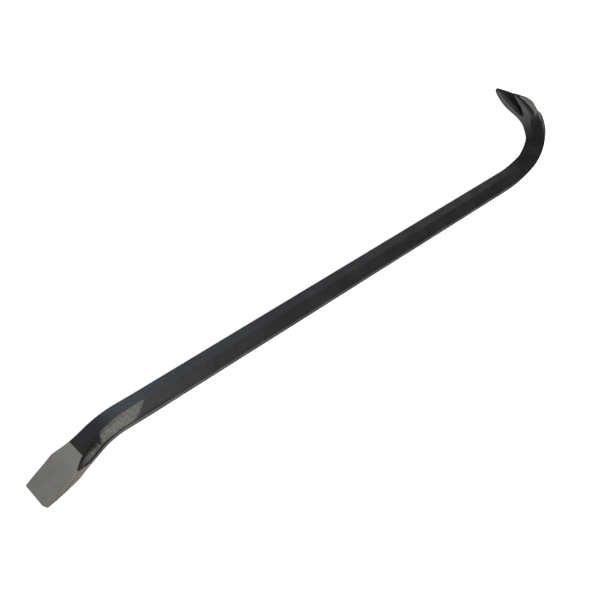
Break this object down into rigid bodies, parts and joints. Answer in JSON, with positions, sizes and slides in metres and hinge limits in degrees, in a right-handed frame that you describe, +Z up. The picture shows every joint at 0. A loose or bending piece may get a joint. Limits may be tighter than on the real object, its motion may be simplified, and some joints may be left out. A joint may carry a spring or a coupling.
{
  "type": "gooseneck wrecking bar",
  "caption": "Hexagonal steel wrecking bar with a gooseneck nail claw at one end and an offset ground chisel blade at the other.",
  "frame": {"origin": "centre of the bar's footprint on the surface that it lies on, with the bar on its side", "axes": "+X along the shank from the chisel to the gooseneck, +Y to the side that the gooseneck hooks towards, +Z up, across the width of the claw"},
  "size_m": [0.6092, 0.1282, 0.0344],
  "materials": {
    "ground_steel": "bare steel, ground and bead-dull, with a warmer band along the side bevel",
    "black_lacquer": "satin black lacquer over forging scale, thin on the raised edges"
  },
  "bodies": {
    "root": {"chisel_blade": "ground_steel", "chisel_neck": "black_lacquer", "shank": "black_lacquer", "gooseneck": "black_lacquer", "claw_root": "black_lacquer", "claw_tine_upper": "black_lacquer", "claw_tine_lower": "black_lacquer"}
  },
  "joints": []
}
